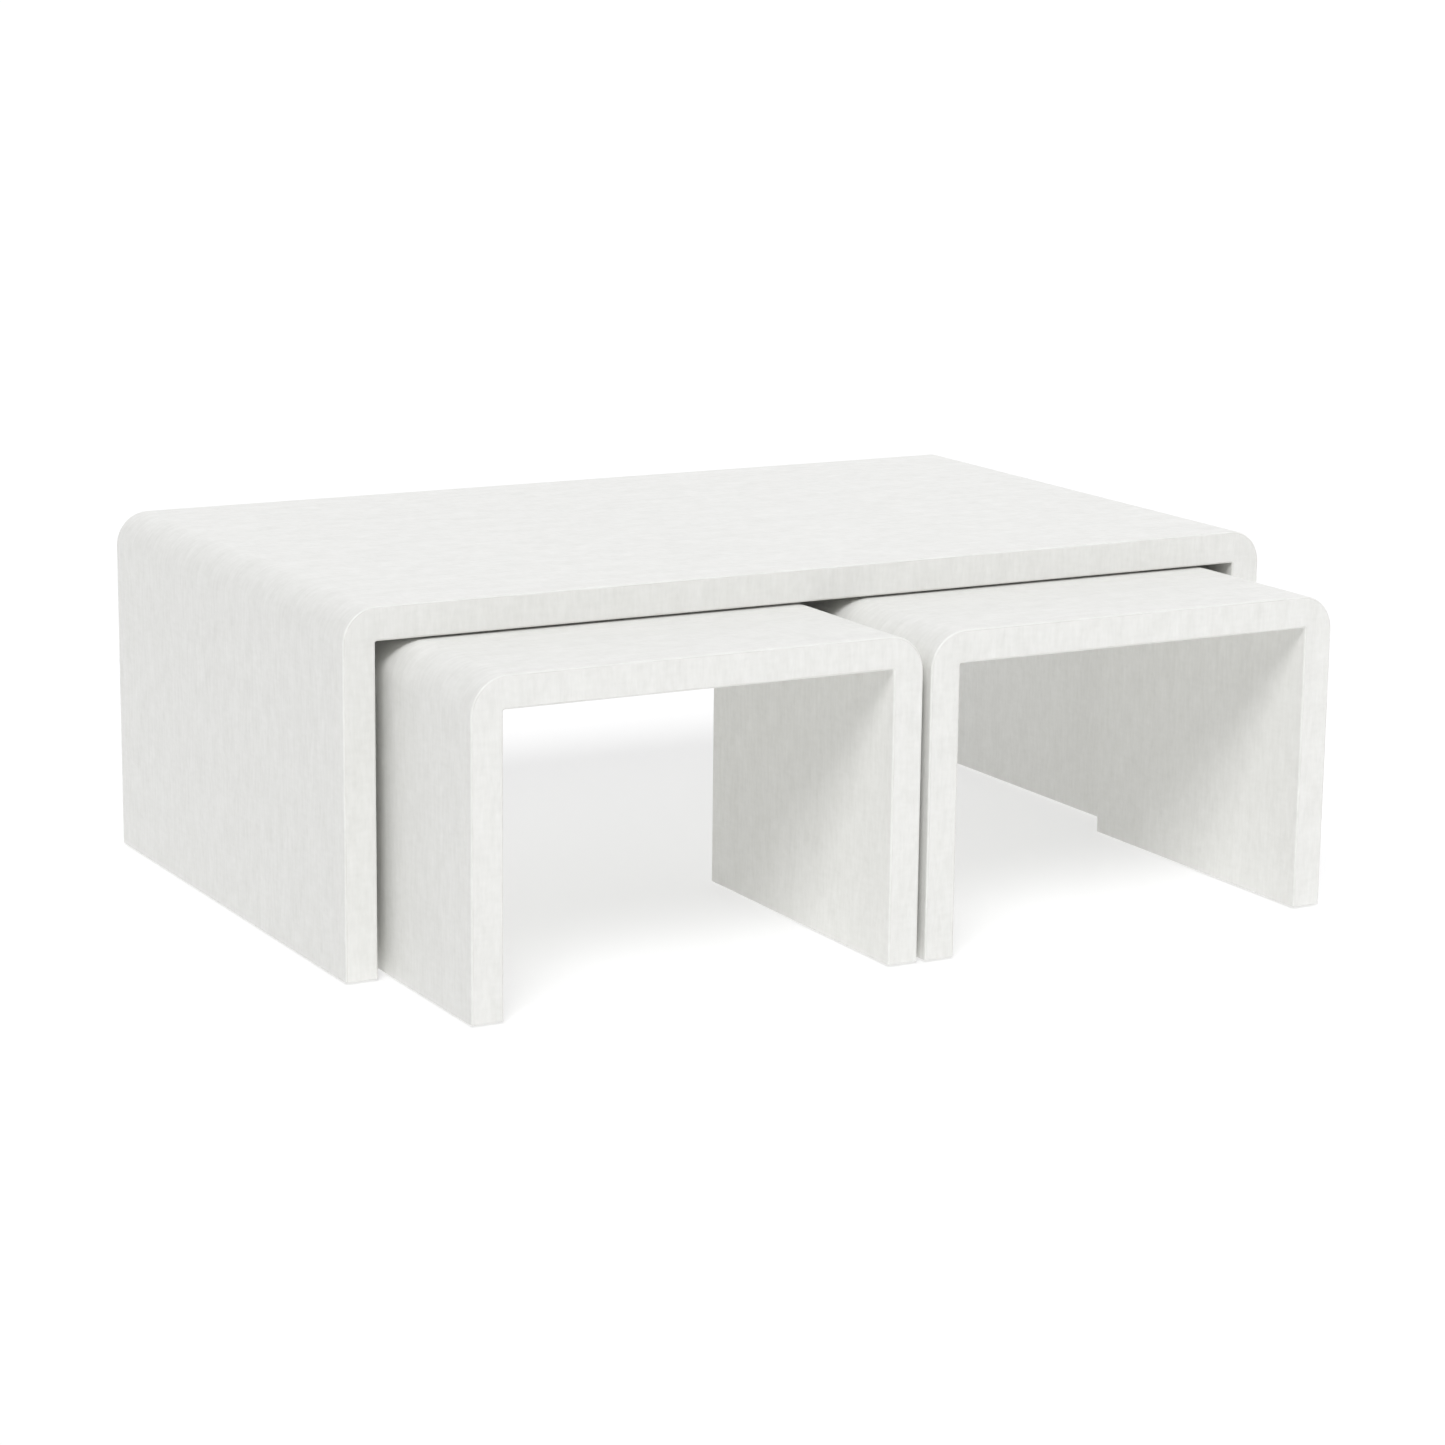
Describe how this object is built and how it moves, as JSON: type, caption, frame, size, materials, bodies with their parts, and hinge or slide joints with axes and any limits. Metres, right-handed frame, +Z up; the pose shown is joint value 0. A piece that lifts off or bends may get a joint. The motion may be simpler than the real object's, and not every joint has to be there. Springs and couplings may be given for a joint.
{
  "type": "nesting tables",
  "caption": "Low rectangular coffee table on full-depth panel legs with rounded corners, and matching small tables that slide out side by side from under it, all in white lacquered linen.",
  "frame": {"origin": "on the floor, in the middle of the rectangle that the whole set covers with the small tables pulled out as stored", "axes": "+X along the length of the large table, towards its right end seen from the front; +Y from the open front towards the back; +Z up"},
  "size_m": [1.32, 0.988, 0.457],
  "materials": {
    "lacquered_linen": "plain-woven slubby linen glued down and sealed under a clear satin lacquer, off-white",
    "fibreboard": "raw medium-density fibreboard, sawn edges",
    "poplar": "planed solid poplar, milled to a quarter round",
    "beech": "turned beech dowel",
    "nylon": "moulded natural nylon, satin",
    "nail_steel": "bright zinc-plated steel"
  },
  "bodies": {
    "large_table": {"large_top_panel": "fibreboard", "large_left_leg_panel": "fibreboard", "large_right_leg_panel": "fibreboard", "large_left_corner_block": "poplar", "large_right_corner_block": "poplar", "large_dowels": "beech", "large_outer_wrap": "lacquered_linen", "large_inner_wrap": "lacquered_linen", "large_front_edge_wrap": "lacquered_linen", "large_back_edge_wrap": "lacquered_linen", "large_foot_wraps": "lacquered_linen", "large_glides": "nylon", "large_glide_nails": "nail_steel"},
    "small_table_a": {"small_a_top_panel": "fibreboard", "small_a_left_leg_panel": "fibreboard", "small_a_right_leg_panel": "fibreboard", "small_a_left_corner_block": "poplar", "small_a_right_corner_block": "poplar", "small_a_dowels": "beech", "small_a_outer_wrap": "lacquered_linen", "small_a_inner_wrap": "lacquered_linen", "small_a_front_edge_wrap": "lacquered_linen", "small_a_back_edge_wrap": "lacquered_linen", "small_a_foot_wraps": "lacquered_linen", "small_a_glides": "nylon", "small_a_glide_nails": "nail_steel"},
    "small_table_b": {"small_b_top_panel": "fibreboard", "small_b_left_leg_panel": "fibreboard", "small_b_right_leg_panel": "fibreboard", "small_b_left_corner_block": "poplar", "small_b_right_corner_block": "poplar", "small_b_dowels": "beech", "small_b_outer_wrap": "lacquered_linen", "small_b_inner_wrap": "lacquered_linen", "small_b_front_edge_wrap": "lacquered_linen", "small_b_back_edge_wrap": "lacquered_linen", "small_b_foot_wraps": "lacquered_linen", "small_b_glides": "nylon", "small_b_glide_nails": "nail_steel"}
  },
  "joints": [
    {"name": "small_table_a_slide", "type": "slide", "parent": "large_table", "child": "small_table_a", "axis": [0, -1, 0], "range_m": [-0.224, 0.25]},
    {"name": "small_table_b_slide", "type": "slide", "parent": "large_table", "child": "small_table_b", "axis": [0, -1, 0], "range_m": [-0.226, 0.25]}
  ]
}
